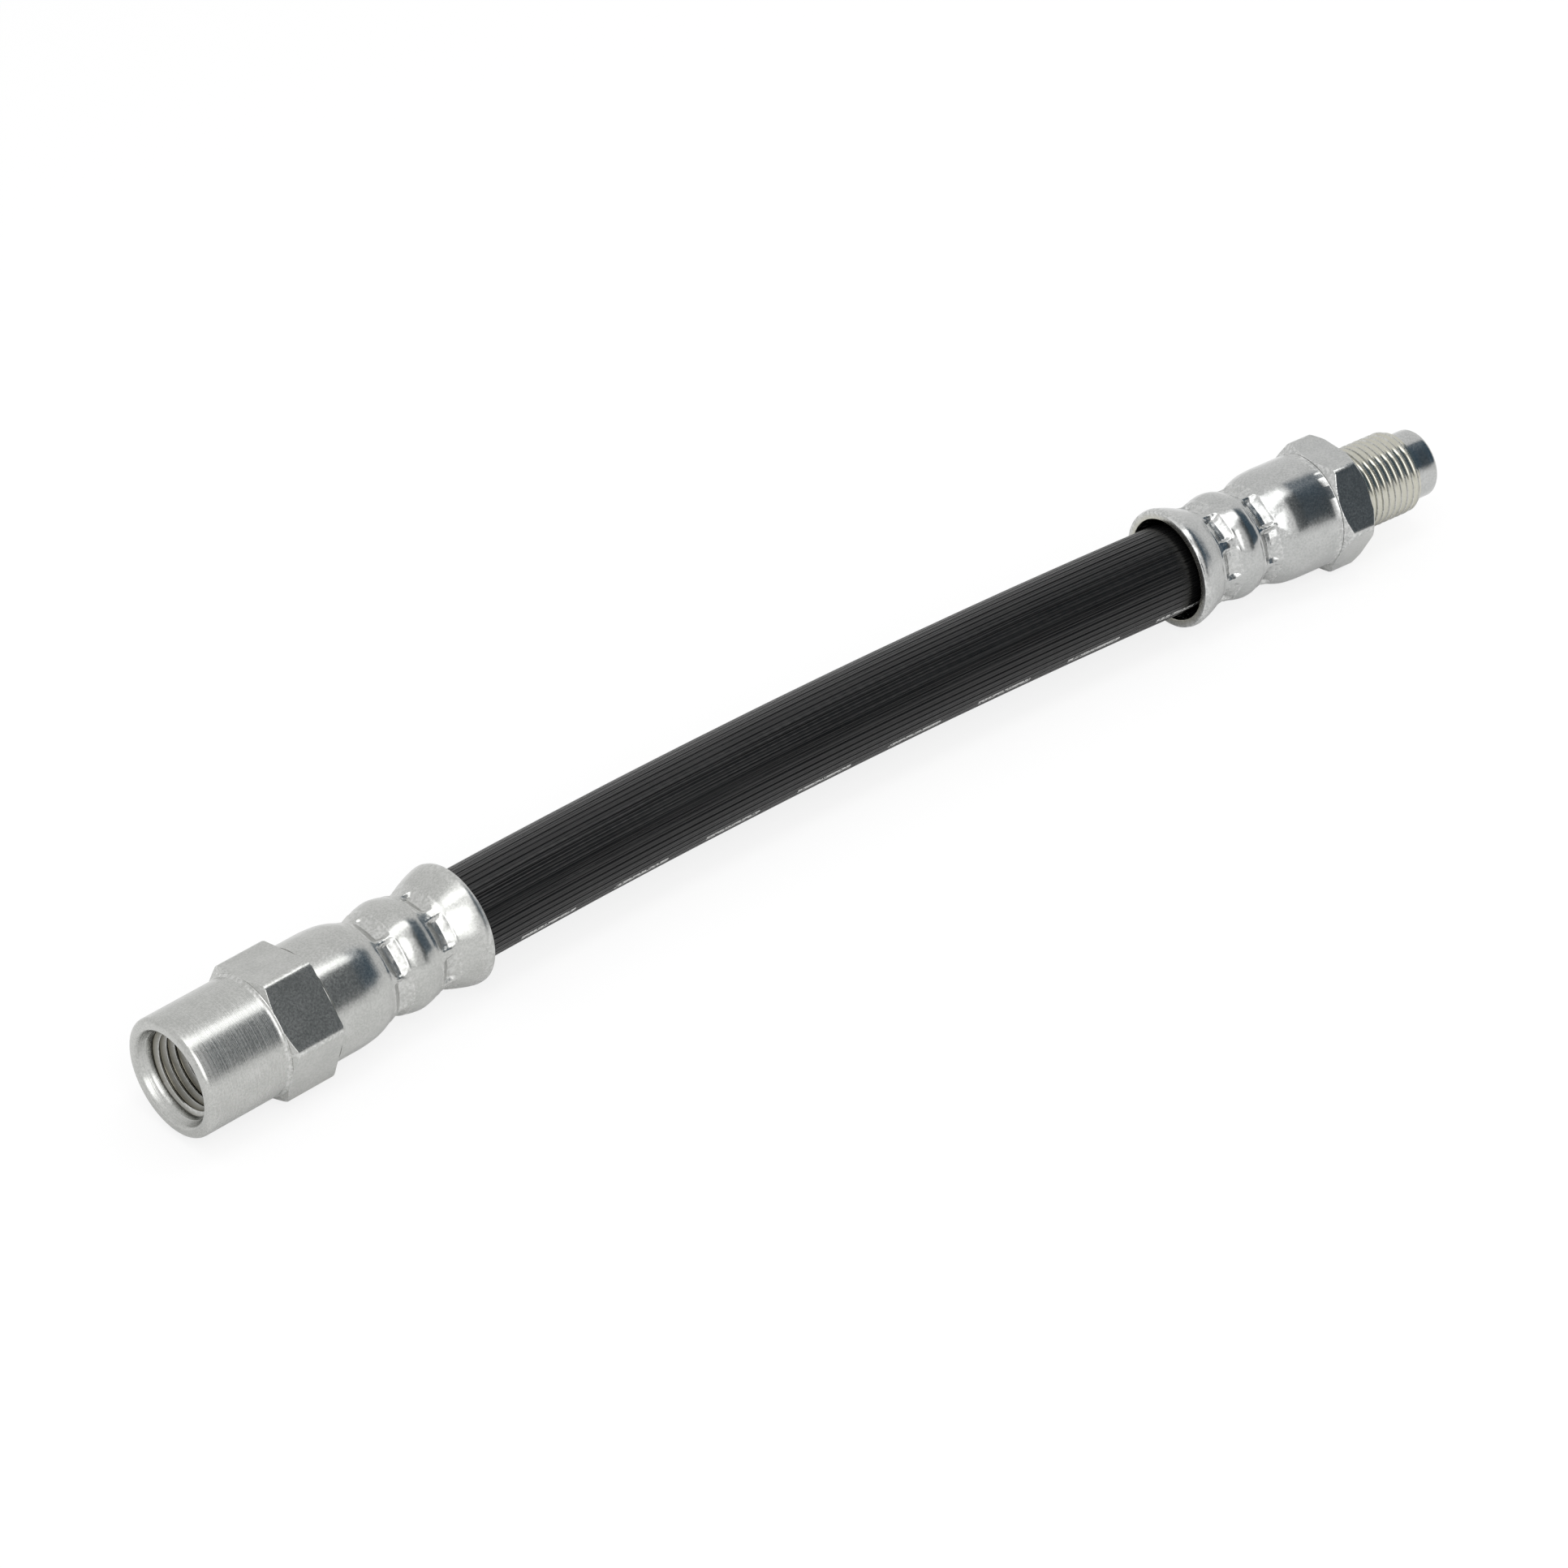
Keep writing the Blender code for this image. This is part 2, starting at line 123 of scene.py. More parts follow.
# Crimped skirt
COLUMNS = 360
JAW_COUNT = 8
JAW_FLOOR_R = 5.3
JAW_LAND = 0.6
JAW_SLOPE = 0.62
JAW_HALF_PRINT = 1.2
JAW_FLATNESS = 0.45
DRAW_LENGTH = 0.75
JAW_HALF_WIDTHS = (17.5, 20.0)
JAW_REACH = 1.7
JAW_PLAY = 0.9
JAW_DEPTH_PLAY = 0.05
JAW_TILT = 0.006
PRINT_FADE = (-3.0, 1.5)
DRAW_FADE = (-12, 0)
FULL_BITE = 0.4
LEAST_BITE = 0.02
LIP_HEIGHT = 0.15
LIP_OFFSET = 2.0
LIP_WIDTH = 2.0
RAG_HEIGHT = 0.035
RAG_OFFSET = -1.5
CREST_HEIGHT = 0.03
CREST_WIDTH = 0.12
CREST_WEAR = 0.7
FACET_WEAR = 0.45
RIM_ROUND = 0.12
RIM_WALL = 1.02
RIM_BORE_ROUND = 0.1
RIM_WEAR = 0.55
RIM_WEAR_FADE = (0.2, 2.2)
THROAT_OFFSET = 1.15
SHOULDER_LENGTH = 3.8
BARREL_R = 6.785
CAVITY_R = 5.335
CRIMPED_CAVITY_R = 4.535
WEB = 19.7
SEAT = 21.62
SEAT_R = 2.62
PASSAGE_R = 1.15

# Hexagon
HEX_APOTHEM = 6.93
HEX_CORNER_R = 7.902
HEX_ROUND = 1.0
HEX_ROUND_SPAN = 8
CHAMFER_ROWS = 12
# Bright corners stand for real wear and a painted highlight; the bright brim is a painted highlight where a
# chamfer meets a flat.
CORNER_WEAR_AND_HIGHLIGHT = 0.9
CORNER_WEAR_AND_HIGHLIGHT_WIDTH = 1.8
BRIM_HIGHLIGHT = 0.8
BRIM_HIGHLIGHT_WIDTH = 0.07

# Threads; a ridge lists rows in one pitch, as a place in it and a height
PITCH = 1.0
SOCKET_RIDGE = [(-0.05, 1), (0.05, 1), (0.13, 0.8), (0.41, 0.06), (0.5, 0), (0.59, 0.06), (0.87, 0.8)]
STUD_PITCH = 0.91
STUD_RIDGE = [(-0.04, 1), (0.04, 1), (0.14, 0.2), (0.24, 0), (0.5, 0), (0.76, 0), (0.86, 0.2)]
CREST_FROM = 0.9
CREST_ROUGHNESS = 0.004
THREAD_WEAR = 0.7
TINT_AND_SHADE_POWER = 3

# Socket fitting
FEMALE_CRIMPS = (5.05, 11.5)
FEMALE_CRIMP_ROLL = -4.0
FEMALE_SKIRT = 21.0
FEMALE_HEX = 6.4
FEMALE_HEX_ROLL = 11.8
FEMALE_LENGTH = 37.8
FEMALE_FLARE_R = 6.94
FEMALE_PROFILE = [(0.12, 6.82), (0.55, 6.935), (1.1, 6.85), (3.05, 6.25), (3.75, 5.95), (4.3, 5.79),
                  (5.05, 5.73), (6.5, 5.94), (7.3, 6.17), (8.25, 6.295), (9.2, 6.18), (10.1, 5.94),
                  (11.5, 5.73), (12.8, 5.92), (14, 6.36), (15.2, 6.64), (17.3, 6.785), (21, 6.785)]
FEMALE_CHAMFERS = ((0.15, 0.15), (0.45, 0.85))
NOSE_R = 6.765
NOSE_ROUND = 0.6
NOSE_START = 0.6
NOSE_ROW_STEP = 1.6
MOUTH_R = 5.75
SOCKET_R = 4.46
SOCKET_ROOT_R = 5.0
SOCKET_LEAD = 1.75
SOCKET_END = 26.4
SOCKET_RUN_OUT = 0.5
DRILL_POINT = 1.9

# Stud fitting
MALE_CRIMPS = (5.1, 10.9)
MALE_CRIMP_ROLL = 73.0
MALE_SKIRT = 20.55
MALE_HEX = 4.3
MALE_HEX_ROLL = 58.6
MALE_LENGTH = 37.4
MALE_FLARE_R = 7.09
MALE_PROFILE = [(0.12, 6.99), (0.6, 7.085), (1.4, 6.92), (3.2, 6.265), (3.8, 6.0), (5.1, 5.78),
                (6.5, 6.04), (7.1, 6.23), (8.05, 6.355), (8.9, 6.26), (9.6, 6.02), (10.9, 5.81),
                (12.1, 6.04), (13.1, 6.41), (14.3, 6.69), (15.8, 6.785), (20.55, 6.785)]
MALE_CHAMFERS = ((0.8, 1.03), (0.65, 0.7))
# Painted highlight on the stud hexagon's chamfers.
MALE_CHAMFER_HIGHLIGHT = 0.7
THREAD_R = 4.975
THREAD_CORE_R = 4.72
THREAD_START = 0.35
THREAD_END = 34.1
THREAD_LEAD_SLOPE = 1.4
RELIEF_R = 4.4
PILOT_R = 4.075
PILOT_ROUND = 0.5
PILOT_START = 0.6
PILOT_ROW_STEP = 0.8

# Turned details, as places and radii from those of the edge that they lie at
FEMALE_GROOVE = [(-0.3, 0), (-0.22, -0.16), (-0.05, -0.2), (0, -0.12)]
NOSE_FILLET = [(0, 0.24), (0.1, 0.22), (0.14, 0.12), (0.27, 0.04), (0.42, 0)]
MALE_BEAD = [(-0.16, 0.03), (-0.1, 0.08), (-0.03, 0.06)]
STUD_RELIEF = [(-0.12, 0.1), (0, 0), (0.25, 0)]
PILOT_FILLET = [(0.14, 0.12), (0.32, 0.02)]

# Turned openings, as places from the end face and whole radii
MOUTH_CONE = [(-0.04, 5.6), (-0.14, 5.49), (-0.35, 5.37), (-0.95, 5.12)]
MOUTH_STEP = [(-1.0, 5.07), (-1.08, 5.01), (-1.65, 4.9)]
SEAT_CONE = [(0, 2.62), (-0.06, 2.55), (-1.45, PASSAGE_R)]

# Studio
CARD_DISTANCE = 1.0
CARD_STRIPS = 12
CARD_GREY = (0.075, 0.086, 0.093)
CARD_NAVY = (0.065, 0.11, 0.155)
FLOOR_HALF = 4.0
FLOOR_COLOUR = (0.92, 0.92, 0.92, 1)
FLOOR_GLOW = 0.8
AMBIENT = 0.85


# Curves and noise

def smoothstep(low, high, x):
    """Rises from 0 at low to 1 at high without a corner."""
    t = np.clip((np.asarray(x, float) - low) / (high - low), 0, 1)
    return t * t * (3 - 2 * t)


def smooth_through(points, x):
    """A curve through the points that doesn't overshoot between them."""
    px, py = np.array(points, float).T
    step = np.diff(px)
    slope = np.diff(py) / step
    tangent = np.zeros(len(px))
    same_way = slope[:-1] * slope[1:] > 0
    before, after = slope[:-1][same_way], slope[1:][same_way]
    tangent[1:-1][same_way] = 2 * before * after / (before + after)
    tangent[0], tangent[-1] = slope[0], slope[-1]
    x = np.asarray(x, float)
    i = np.clip(np.searchsorted(px, x) - 1, 0, len(step) - 1)
    t = (x - px[i]) / step[i]
    return ((1 + 2 * t) * (1 - t) ** 2 * py[i] + t * (1 - t) ** 2 * step[i] * tangent[i]
            + t * t * (3 - 2 * t) * py[i + 1] + t * t * (t - 1) * step[i] * tangent[i + 1])


def hump(x, centre, width):
    """1 at the centre, falling off to both sides over about the width."""
    return np.exp(-((x - centre) / width) ** 2)


def speckle(random, shape, spread):
    """Random grain over rows and columns, smoothed this many times and kept to -2.5 to 2.5."""
    grid = random.normal(size=shape)
    for _ in range(spread):
        for axis in (0, 1):
            grid = (np.roll(grid, 1, axis) + 2 * grid + np.roll(grid, -1, axis)) / 4
    return np.clip(grid / grid.std(), -2.5, 2.5)


def steps(low, high, step):
    """Places from low up to high, high left out, about a step apart."""
    count = max(1, round(abs(high - low) / step))
    return [low + (high - low) * k / count for k in range(count)]


def quarter_round(place, radius, edge, along=1, count=5):
    """A rounded edge that leaves an end face at the place and meets a wall of the radius.

    A negative edge rounds the mouth of a bore.
    """
    turns = [math.pi / 2 * k / count for k in range(count + 1)]
    return [(place + along * abs(edge) * (1 - math.cos(turn)), radius - edge * (1 - math.sin(turn)))
            for turn in turns]


def shifted(profile, place, radius=0):
    """A profile that is given from a place and a radius."""
    return [(place + along, radius + out) for along, out in profile]


# Skins

class Skin:
    """Rows of points round an axis, joined in order into one closed skin.

    A thread's rows climb with the angle, so at the seam each one meets the row a pitch further on.
    """

    # Besides real finish, the fourth layer paints shade into the socket's thread and recesses, and the
    # fifth also paints highlights along some hexagon edges.
    LAYERS = ("along", "around", "turned", "tint", "worn")

    def __init__(self, columns, start):
        self.columns = columns
        self.degrees = start + np.arange(columns) * 360 / columns
        self.rows = []
        self.partner = []

    def row(self, place, radius, turned=0.0, tint=0.0, worn=0.0):
        """One row; each value is a number or has one for each column."""
        self.rows.append([np.broadcast_to(np.asarray(value, float), self.columns)
                          for value in (place, radius, turned, tint, worn)])

    def ring(self, place, radius, **finish_and_painted_light):
        """A row at one place."""
        self.partner.append(len(self.rows))
        self.row(place, radius, **finish_and_painted_light)

    def rings(self, profile, **finish_and_painted_light):
        for place, radius in profile:
            self.ring(place, radius, **finish_and_painted_light)

    def thread(self, first, last, radii, ridge, pitch, fade, random, tints, limit=None):
        """A right-hand thread with this ridge in each pitch.

        The radii and the tints are those of its valleys and its crests; on the stud the tint is a yellow
        tint, on the socket it is painted shade, deepest in the valleys. It fades out over two lengths, at
        its low and its high end, and stays below the limit, which gives a radius for each place.
        """
        way = 1 if last > first else -1
        low, high = min(first, last), max(first, last)
        root_r, crest_r = radii
        climb = pitch * np.arange(self.columns) / self.columns
        turns = math.ceil((high - low) / pitch) + 1
        begin = len(self.rows)
        count = turns * len(ridge) + 1
        for k in range(count):
            share, height = ridge[k % len(ridge)]
            start = first + way * (k // len(ridge) + share) * pitch
            place = np.clip(start + climb - (pitch if way > 0 else 0), low, high)
            whole = smoothstep(low, low + fade[0], place) * smoothstep(high, high - fade[1], place)
            radius = root_r + (crest_r - root_r) * height * whole
            if height > CREST_FROM:
                radius = radius + random.normal(0, CREST_ROUGHNESS, self.columns) * whole
            if limit is not None:
                radius = np.minimum(radius, limit(place))
            tint = tints[0] + (tints[1] - tints[0]) * height ** TINT_AND_SHADE_POWER
            self.row(place, radius, tint=tint, worn=THREAD_WEAR * whole * (height > CREST_FROM))
            self.partner.append(min(max(begin + k + way * len(ridge), begin), begin + count - 1))

    def points(self, frame_at):
        """Positions of every point, row by row, in metres."""
        turn = np.radians(self.degrees)[:, None]
        made = []
        for row in self.rows:
            centre, side = frame_at(row[0])
            spoke = side * np.cos(turn) + np.array((0, 0, 1)) * np.sin(turn)
            made.append(centre + spoke * row[1][:, None])
        return np.array(made).reshape(-1, 3) * MM

    def faces(self):
        """Four corners for each face between neighbouring rows."""
        first = np.arange(len(self.rows))[:, None]
        second = (first + 1) % len(self.rows)
        partner = np.array(self.partner)
        column = np.arange(self.columns)
        following = (column + 1) % self.columns
        wraps = following == 0
        here = [rows * self.columns + column for rows in (first, second)]
        across = [np.where(wraps, partner[rows], rows) * self.columns + following
                  for rows in (first, second)]
        return np.stack([here[0], across[0], across[1], here[1]], -1).reshape(-1, 4)

    def mesh(self, name, material, frame_at, placed=Matrix(), sharp=38):
        """The skin as an object, with its places, angles, finish and painted light and shade kept as
        attributes.
        """
        points = self.points(frame_at)
        _, keep, index = np.unique(np.round(points / MM, 4), axis=0, return_index=True, return_inverse=True)
        quads = index.reshape(-1)[self.faces()]
        corners = [list(dict.fromkeys(quad)) for quad in quads.tolist()]
        data = bpy.data.meshes.new(name)
        data.from_pydata(points[keep].tolist(), [], [face for face in corners if len(face) > 2])
        data.validate()
        around = np.tile(self.degrees % 360, len(self.rows))
        along, _, turned, tint, worn = (np.concatenate(values) for values in zip(*self.rows))
        for layer, values in zip(self.LAYERS, (along, around, turned, tint, worn)):
            attribute = data.attributes.new(layer, "FLOAT", "POINT")
            attribute.data.foreach_set("value", values[keep].astype(np.float32))
        face_out(data)
        data.transform(placed)
        data.shade_smooth()
        data.set_sharp_from_angle(angle=math.radians(sharp))
        data.materials.append(material)
        made = bpy.data.objects.new(name, data)
        bpy.context.scene.collection.objects.link(made)
        return made


def face_out(data):
    """Turns every face outwards when the closed mesh is inside out."""
    data.calc_loop_triangles()
    corner = np.zeros(len(data.vertices) * 3)
    data.vertices.foreach_get("co", corner)
    triangle = np.zeros(len(data.loop_triangles) * 3, int)
    data.loop_triangles.foreach_get("vertices", triangle)
    a, b, c = corner.reshape(-1, 3)[triangle.reshape(-1, 3)].transpose(1, 0, 2)
    if np.einsum("ij,ij->i", a, np.cross(b, c)).sum() < 0:
        data.flip_normals()


def straight_axis(place):
    """The axis of a fitting, in its own frame."""
    zero = np.zeros(len(place))
    return np.stack([place, zero, zero], -1), np.array((0.0, 1.0, 0.0))


# Places of the fittings and the hose in the row frame

_, female_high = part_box("female_fitting")
insert_low, insert_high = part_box("female_insert")
female_rim = Vector((female_high.x, (insert_low.y + insert_high.y) / 2, (insert_low.z + insert_high.z) / 2))
female_frame = Matrix.Translation(female_rim) @ Matrix.Rotation(math.pi, 4, "Z")


def hose_axis(place):
    """Points of the hose's axis and its sideways vectors, in the row frame and in millimetres."""
    bend = math.radians(BEND)
    radius = FREE_LENGTH / bend
    turn = bend * np.clip(place / FREE_LENGTH, 0, 1)
    run_on = np.minimum(place, 0) + np.maximum(place - FREE_LENGTH, 0)
    zero = np.zeros(len(turn))
    along = np.stack([np.cos(turn), -np.sin(turn), zero], -1)
    arc = np.stack([radius * np.sin(turn), -radius * (1 - np.cos(turn)), zero], -1)
    point = arc + along * run_on[:, None]
    side = np.stack([np.sin(turn), np.cos(turn), zero], -1)
    return point + np.array(female_rim) / MM, side


def on_axis(place):
    """One point of the hose's axis, in metres."""
    return Vector(hose_axis(np.array([float(place)]))[0][0] * MM)


male_rim = on_axis(FREE_LENGTH)
male_frame = Matrix.Translation(male_rim) @ Matrix.Rotation(-math.radians(BEND), 4, "Z")


# Materials

class Nodes:
    """Short names for building a material's nodes."""

    def __init__(self, name):
        self.material = bpy.data.materials.new(name)
        self.material.use_nodes = True
        self.tree = self.material.node_tree
        self.shader = self.tree.nodes["Principled BSDF"]

    def add(self, kind, **settings):
        node = self.tree.nodes.new(kind)
        for name, value in settings.items():
            setattr(node, name, value)
        return node

    def feed(self, node, key, value):
        """Sets an input, or joins it where the value comes from another node."""
        if isinstance(value, bpy.types.NodeSocket):
            self.tree.links.new(value, node.inputs[key])
        else:
            node.inputs[key].default_value = value

    def attribute(self, name):
        return self.add("ShaderNodeAttribute", attribute_name=name).outputs["Fac"]

    def math(self, operation, a, b=0.0):
        node = self.add("ShaderNodeMath", operation=operation)
        self.feed(node, 0, a)
        self.feed(node, 1, b)
        return node.outputs[0]

    def weigh(self, *pairs):
        """Sum of values, each times its weight."""
        total = 0.0
        for value, weight in pairs:
            node = self.add("ShaderNodeMath", operation="MULTIPLY_ADD")
            self.feed(node, 0, value)
            self.feed(node, 1, weight)
            self.feed(node, 2, total)
            total = node.outputs[0]
        return total

    def ramp(self, value, low, high, to_low=0.0, to_high=1.0):
        node = self.add("ShaderNodeMapRange", interpolation_type="SMOOTHSTEP")
        for key, setting in (("Value", value), ("From Min", low), ("From Max", high),
                             ("To Min", to_low), ("To Max", to_high)):
            self.feed(node, key, setting)
        return node.outputs[0]

    def noise(self, scale, detail=2.0, vector=None):
        """Noise through space, in metres unless other places are given."""
        node = self.add("ShaderNodeTexNoise")
        self.feed(node, "Vector", vector or self.add("ShaderNodeTexCoord").outputs["Object"])
        self.feed(node, "Scale", scale)
        self.feed(node, "Detail", detail)
        return node.outputs["Fac"]

    def lines(self, value, scale, detail=2.0):
        """Noise that changes along one value only."""
        node = self.add("ShaderNodeTexNoise", noise_dimensions="1D")
        self.feed(node, "W", value)
        self.feed(node, "Scale", scale)
        self.feed(node, "Detail", detail)
        return node.outputs["Fac"]

    def stretched(self, first, first_scale, second, second_scale):
        """Places for a noise that is drawn out along one of two values."""
        node = self.add("ShaderNodeCombineXYZ")
        self.feed(node, "X", self.math("MULTIPLY", first, first_scale))
        self.feed(node, "Y", self.math("MULTIPLY", second, second_scale))
        return node.outputs[0]

    def mix(self, factor, first, second):
        node = self.add("ShaderNodeMix", data_type="RGBA")
        self.feed(node, 0, factor)
        for key, colour in ((6, first), (7, second)):
            self.feed(node, key, colour if isinstance(colour, bpy.types.NodeSocket) else (*colour, 1))
        return node.outputs[2]

    def bump(self, height, strength, distance):
        node = self.add("ShaderNodeBump")
        self.feed(node, "Height", height)
        self.feed(node, "Strength", strength)
        self.feed(node, "Distance", distance * MM)
        return node.outputs["Normal"]

    def shade(self, **inputs):
        for key, value in inputs.items():
            self.feed(self.shader, key.replace("_", " "), value)
        return self.material


def zinc(name, dull, bright, tinted, rough):
    """Zinc plating with crystal grain, soft blotches, turning lines, and bright scuffs where it is worn,
    which also serve as painted highlights along some hexagon edges.

    Its grain lies between the dull and the bright colour, and a tint of 1 gives the tinted one: a yellow
    tint on the stud, and painted shade in the socket's thread and recesses.
    """
    n = Nodes(name)
    grain = n.noise(4300, 4)
    blotch = n.noise(420, 3)
    scuff = n.noise(2600, 3)
    turned, worn = n.attribute("turned"), n.attribute("worn")
    along = n.attribute("along")
    lines = n.weigh((n.lines(along, 4.6, 2), 0.35), (n.lines(along, 11.0, 2), 0.65))
    cut = n.math("MULTIPLY", lines, turned)
    shade = n.weigh((grain, 0.7), (blotch, 0.3), (cut, 0.5), (turned, -0.25))
    plated = n.mix(n.ramp(shade, 0.34, 0.66), dull, bright)
    # The tinted colour mixed in here is a yellow tint on the stud and painted shade in the socket's
    # recesses.
    coloured = n.mix(n.attribute("tint"), plated, tinted)
    # Brightening where worn: real scuffs, and painted highlights at some hexagon edges and chamfers.
    scuffs_and_highlights = n.math("MULTIPLY", worn, n.ramp(scuff, 0.42, 0.62))
    colour = n.mix(n.math("MULTIPLY", scuffs_and_highlights, 0.7), coloured, (0.72, 0.72, 0.71))
    matt = n.weigh((n.ramp(grain, 0.3, 0.7, rough - 0.015, rough + 0.02), 1.0), (turned, -0.01),
                   (n.math("MULTIPLY", turned, n.ramp(lines, 0.4, 0.6)), 0.07), (worn, 0.12))
    height = n.weigh((grain, 0.2), (cut, 2.0), (n.math("MULTIPLY", worn, scuff), 1.8))
    return n.shade(Base_Color=colour, Metallic=1.0, Roughness=matt, Normal=n.bump(height, 0.5, 0.012))


def insert_steel():
    """Turned steel of the inserts."""
    n = Nodes("insert_steel")
    grain = n.noise(6000, 3)
    return n.shade(Base_Color=n.mix(grain, (0.46, 0.46, 0.47), (0.6, 0.6, 0.61)), Metallic=1.0,
                   Roughness=n.ramp(grain, 0.3, 0.7, 0.28, 0.42), Normal=n.bump(grain, 0.1, 0.02))


def cover_rubber():
    """Black rubber with a faint bloom, drawn streaks, a trace of the braid and a broken white line."""
    n = Nodes("cover_rubber")
    along, around = n.attribute("along"), n.attribute("around")
    streaks = n.noise(1.0, 4, n.stretched(along, 0.05, around, 0.45))
    fine = n.noise(1.0, 2, n.stretched(along, 0.12, around, 1.6))
    grain = n.noise(5200, 3)
    bloom = n.noise(240, 3)
    black = n.mix(n.ramp(n.weigh((streaks, 0.45), (fine, 0.25), (bloom, 0.3)), 0.36, 0.66),
                  (0.0012, 0.0012, 0.0013), (0.0045, 0.0045, 0.0045))
    repeat = n.math("FRACT", n.math("MULTIPLY", along, 1 / LINE_PERIOD))
    dash = n.math("GREATER_THAN", repeat, LINE_GAP_SHARE)
    band = n.math("MULTIPLY", n.ramp(around, *LINE_FIRST_EDGE), n.ramp(around, *LINE_LAST_EDGE))
    crest = n.ramp(n.attribute("worn"), 0.35, 0.65)
    ink = n.math("MULTIPLY", n.math("MULTIPLY", dash, band),
                 n.math("MULTIPLY", crest, n.ramp(n.noise(3200, 3), 0.36, 0.5)))
    colour = n.mix(ink, black, (0.5, 0.5, 0.49))
    rough = n.ramp(n.weigh((streaks, 0.6), (fine, 0.4)), 0.3, 0.7, 0.22, 0.36)
    weave = n.math("MULTIPLY", n.math("SINE", n.weigh((along, 2.1), (around, 0.14))),
                   n.math("SINE", n.weigh((along, 2.1), (around, -0.14))))
    height = n.weigh((grain, 0.4), (fine, 0.6), (weave, 2.4))
    return n.shade(Base_Color=colour, Roughness=rough, Specular_IOR_Level=0.36,
                   Normal=n.bump(height, 0.15, 0.03))


def liner_rubber():
    """Smooth rubber of the liner and the cushion layer."""
    n = Nodes("liner_rubber")
    grain = n.noise(3000, 3)
    return n.shade(Base_Color=n.mix(grain, (0.022, 0.022, 0.023), (0.04, 0.04, 0.042)),
                   Roughness=n.ramp(grain, 0.3, 0.7, 0.5, 0.65), Normal=n.bump(grain, 0.1, 0.02))


def braid_yarn():
    """Pale yarn with fine fibres."""
    n = Nodes("braid_yarn")
    fibre = n.noise(4200, 4)
    return n.shade(Base_Color=n.mix(fibre, (0.56, 0.53, 0.45), (0.8, 0.77, 0.68)),
                   Roughness=n.ramp(fibre, 0.3, 0.7, 0.75, 0.95), Normal=n.bump(fibre, 0.3, 0.04))


# Skirts

def skirt_places(crimps, length):
    """Places of the skirt's rows: close together at the crimps, wider on the barrel."""
    near, far = crimps
    stops = [(RIM_ROUND, 0.2), (near - JAW_REACH, 0.1), (near + JAW_REACH, 0.2), (far - JAW_REACH, 0.1),
             (far + JAW_REACH, 0.3), (far + JAW_REACH + 4, 0.9), (length, 1)]
    places = []
    for (low, step), (high, _) in zip(stops, stops[1:]):
        places += steps(low, high, step)
    return np.array(places)


def pressed(places, profile, degrees, crimps, roll, random):
    """Radii of a skirt pressed by the jaws, and how worn it is.

    A jaw leaves a facet with a narrow land and two sloping flanks, and turns up a ragged lip round it.
    """
    shape = (len(places), len(degrees))
    fine, broad, soft = (speckle(random, shape, spread) for spread in (3, 8, 40))
    base = smooth_through(profile, places)[:, None]
    near_rim = 1 - smoothstep(*RIM_WEAR_FADE, places)[:, None]
    radius = base + 0.01 * soft + 0.004 * broad * near_rim
    worn = RIM_WEAR * near_rim * np.ones(shape)
    pitch = 360 / JAW_COUNT
    jaw = np.round((degrees - roll) / pitch).astype(int) % JAW_COUNT
    for crimp, half_width in zip(crimps, JAW_HALF_WIDTHS):
        shift = random.uniform(-JAW_PLAY, JAW_PLAY, JAW_COUNT)[jaw]
        depth = random.uniform(-JAW_DEPTH_PLAY, JAW_DEPTH_PLAY, JAW_COUNT)[jaw]
        tilt = random.uniform(-JAW_TILT, JAW_TILT, JAW_COUNT)[jaw]
        aside = (degrees - roll + pitch / 2) % pitch - pitch / 2 - shift
        away = places[:, None] - crimp
        off = np.abs(away)
        inside = off < JAW_HALF_PRINT
        flat = 1 + JAW_FLATNESS * (1 / np.cos(np.radians(aside)) - 1)
        rise = np.clip(off - JAW_LAND / 2, 0, JAW_HALF_PRINT - JAW_LAND / 2) * JAW_SLOPE
        tooth = JAW_FLOOR_R + depth + rise
        facet = tooth * flat + tilt * aside + 0.009 * broad + 0.003 * fine
        edge = smooth_through(profile, crimp + np.sign(away) * JAW_HALF_PRINT) - facet
        from_end = np.abs(aside) - half_width
        drawn = np.clip(edge, 0, None) * np.exp(-((off - JAW_HALF_PRINT) / DRAW_LENGTH))
        bite = np.where(inside, base - facet, drawn * (1 - smoothstep(*DRAW_FADE, from_end)))
        window = 1 - smoothstep(*PRINT_FADE, from_end)
        depth_share = np.clip(bite / FULL_BITE, 0, 1) * inside
        lip = hump(from_end, LIP_OFFSET, LIP_WIDTH) * depth_share * np.clip(off / JAW_HALF_PRINT, 0.3, 1)
        crest = hump(off, JAW_HALF_PRINT, CREST_WIDTH) * window
        ragged = hump(from_end, RAG_OFFSET, LIP_WIDTH) * depth_share
        torn = np.clip(0.7 + 0.5 * fine, 0, 1.6)
        radius -= np.clip(bite, 0, None) * window
        radius += LIP_HEIGHT * lip * torn + CREST_HEIGHT * crest + RAG_HEIGHT * ragged * fine
        worn = np.maximum(worn, np.maximum(lip, ragged))
        pressed_flat = FACET_WEAR * inside * (bite > LEAST_BITE)
        worn = np.maximum(worn, window * np.maximum(pressed_flat, CREST_WEAR * crest))
    return radius, worn


def add_skirt(skin, profile, crimps, roll, length, random):
    """Outside of a skirt from its rim to the hexagon."""
    for place, radius in quarter_round(0, profile[0][1], RIM_ROUND, count=4)[:-1]:
        skin.ring(place, radius, worn=0.9)
    places = skirt_places(crimps, length)
    radii, worn = pressed(places, profile, skin.degrees, crimps, roll, random)
    for place, radius, scuffs_and_highlights in zip(places, radii, worn):
        skin.ring(place, radius, turned=0.06, worn=scuffs_and_highlights)


